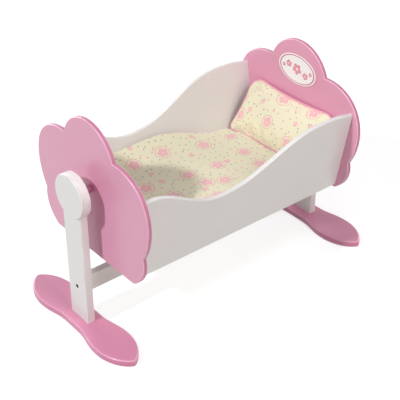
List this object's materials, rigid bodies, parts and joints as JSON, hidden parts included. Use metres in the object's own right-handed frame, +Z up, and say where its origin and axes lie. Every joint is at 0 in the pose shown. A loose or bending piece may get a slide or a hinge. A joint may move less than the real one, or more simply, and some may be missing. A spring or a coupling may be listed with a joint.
{
  "type": "doll cradle",
  "caption": "Swinging doll cradle: a crib with flower-shaped ends and flared wavy sides hangs between two round-headed posts, with mattress, quilt and pillow.",
  "frame": {"origin": "on the floor, under the middle of the crib", "axes": "+X along the crib towards the head end, +Y across the crib, +Z up"},
  "size_m": [0.666, 0.35, 0.432],
  "materials": {
    "pink_paint": "satin pink paint over board",
    "white_paint": "satin white paint over board",
    "white_plywood": "white painted thin board",
    "bare_wood": "bare beech",
    "zinc_steel": "zinc plated",
    "nylon": "smooth white nylon",
    "pink_nylon": "smooth pink nylon",
    "printed_plate": "thin white oval with a printed ring and flowers",
    "printed_cotton": "cream cotton with a scattered flower print and pink piping",
    "plain_cotton": "plain cream cotton"
  },
  "bodies": {
    "stand": {"foot_end_stand_foot": "pink_paint", "foot_end_post": "white_paint", "foot_end_pivot_bush": "nylon", "foot_end_pivot_washer": "zinc_steel", "foot_end_cover_disc": "white_paint", "foot_end_stretcher_barrel_nut": "zinc_steel", "foot_end_stretcher_bolt": "zinc_steel", "foot_end_stretcher_dowel": "bare_wood", "foot_end_foot_screw_a": "zinc_steel", "foot_end_foot_screw_b": "zinc_steel", "foot_end_foot_dowel_a": "bare_wood", "foot_end_foot_dowel_b": "bare_wood", "head_end_stand_foot": "pink_paint", "head_end_post": "white_paint", "head_end_pivot_bush": "nylon", "head_end_pivot_washer": "zinc_steel", "head_end_cover_disc": "white_paint", "head_end_stretcher_barrel_nut": "zinc_steel", "head_end_stretcher_bolt": "zinc_steel", "head_end_stretcher_dowel": "bare_wood", "head_end_foot_screw_a": "zinc_steel", "head_end_foot_screw_b": "zinc_steel", "head_end_foot_dowel_a": "bare_wood", "head_end_foot_dowel_b": "bare_wood", "stretcher": "white_paint"},
    "crib": {"foot_end_board": "pink_paint", "foot_end_pivot_bolt": "zinc_steel", "foot_end_pivot_sleeve": "pink_nylon", "foot_end_pivot_insert": "zinc_steel", "head_end_board": "pink_paint", "head_end_pivot_bolt": "zinc_steel", "head_end_pivot_sleeve": "pink_nylon", "head_end_pivot_insert": "zinc_steel", "front_panel": "white_paint", "front_foot_low_dowel": "bare_wood", "front_foot_high_dowel": "bare_wood", "front_head_low_dowel": "bare_wood", "front_head_high_dowel": "bare_wood", "front_cleat": "bare_wood", "front_foot_base_screw": "zinc_steel", "front_middle_base_screw": "zinc_steel", "front_head_base_screw": "zinc_steel", "back_panel": "white_paint", "back_foot_low_dowel": "bare_wood", "back_foot_high_dowel": "bare_wood", "back_head_low_dowel": "bare_wood", "back_head_high_dowel": "bare_wood", "back_cleat": "bare_wood", "back_foot_base_screw": "zinc_steel", "back_middle_base_screw": "zinc_steel", "back_head_base_screw": "zinc_steel", "base_board": "white_plywood", "oval_plate": "printed_plate"},
    "mattress": {"mattress": "plain_cotton"},
    "quilt": {"quilt": "printed_cotton"},
    "pillow": {"pillow": "printed_cotton"}
  },
  "joints": [
    {"name": "crib_swing", "type": "hinge", "parent": "stand", "child": "crib", "pos_m": [0, 0, 0.292], "axis": [1, 0, 0], "range_deg": [-34, 34]},
    {"name": "mattress_lift", "type": "slide", "parent": "crib", "child": "mattress", "axis": [0, 0, 1], "range_m": [0, 0.16]},
    {"name": "quilt_lift", "type": "slide", "parent": "mattress", "child": "quilt", "axis": [0, 0, 1], "range_m": [0, 0.16]},
    {"name": "pillow_lift", "type": "slide", "parent": "quilt", "child": "pillow", "axis": [0, 0, 1], "range_m": [0, 0.16]}
  ]
}
